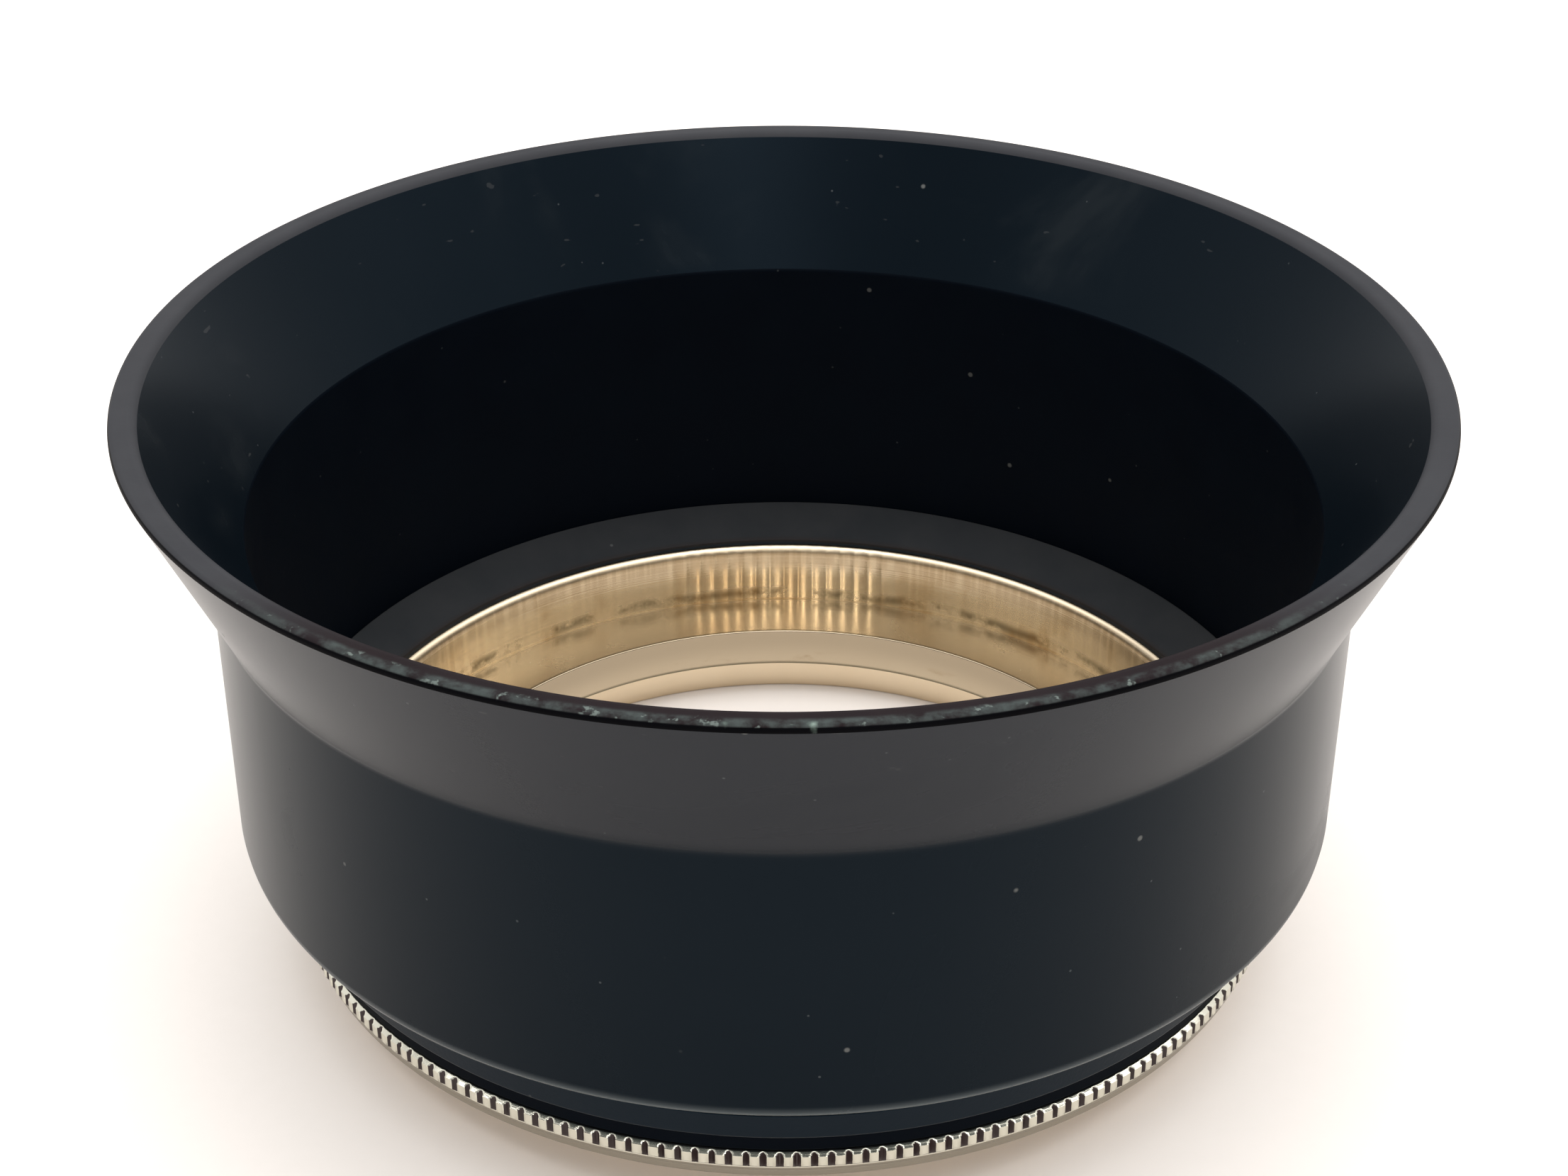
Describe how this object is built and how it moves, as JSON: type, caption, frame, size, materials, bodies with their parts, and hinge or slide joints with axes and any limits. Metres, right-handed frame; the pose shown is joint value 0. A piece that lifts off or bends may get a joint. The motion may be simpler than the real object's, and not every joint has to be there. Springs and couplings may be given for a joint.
{
  "type": "lens hood",
  "caption": "Black flared metal lens hood with an inner step, screwed onto a nickel-plated adapter with a knurled flange, a filter recess and a lens thread.",
  "frame": {"origin": "centre of the lens thread's lower end, the face that the part stands on", "axes": "+Z along the light path, from the lens towards the flared rim"},
  "size_m": [0.069, 0.069, 0.034],
  "materials": {
    "hood_black": "satin black anodised",
    "base_black": "satin black enamel",
    "nickel": "aged nickel plate on brass"
  },
  "bodies": {
    "adapter": {"adapter_ring": "nickel", "lens_thread_ring": "nickel"},
    "hood_base": {"base_ring": "base_black"},
    "hood": {"hood_shell": "hood_black"}
  },
  "joints": [
    {"name": "hood_lift", "type": "slide", "parent": "adapter", "child": "hood_base", "axis": [0, 0, 1], "range_m": [0, 0.0045]},
    {"name": "hood_turn", "type": "hinge", "parent": "hood_base", "child": "hood", "pos_m": [0, 0, 0.01], "axis": [0, 0, 1], "range_deg": [0, 2160]}
  ],
  "couplings": [
    {"joint": "hood_lift", "follows": "hood_turn", "m_per_rad": 0.00011937}
  ]
}
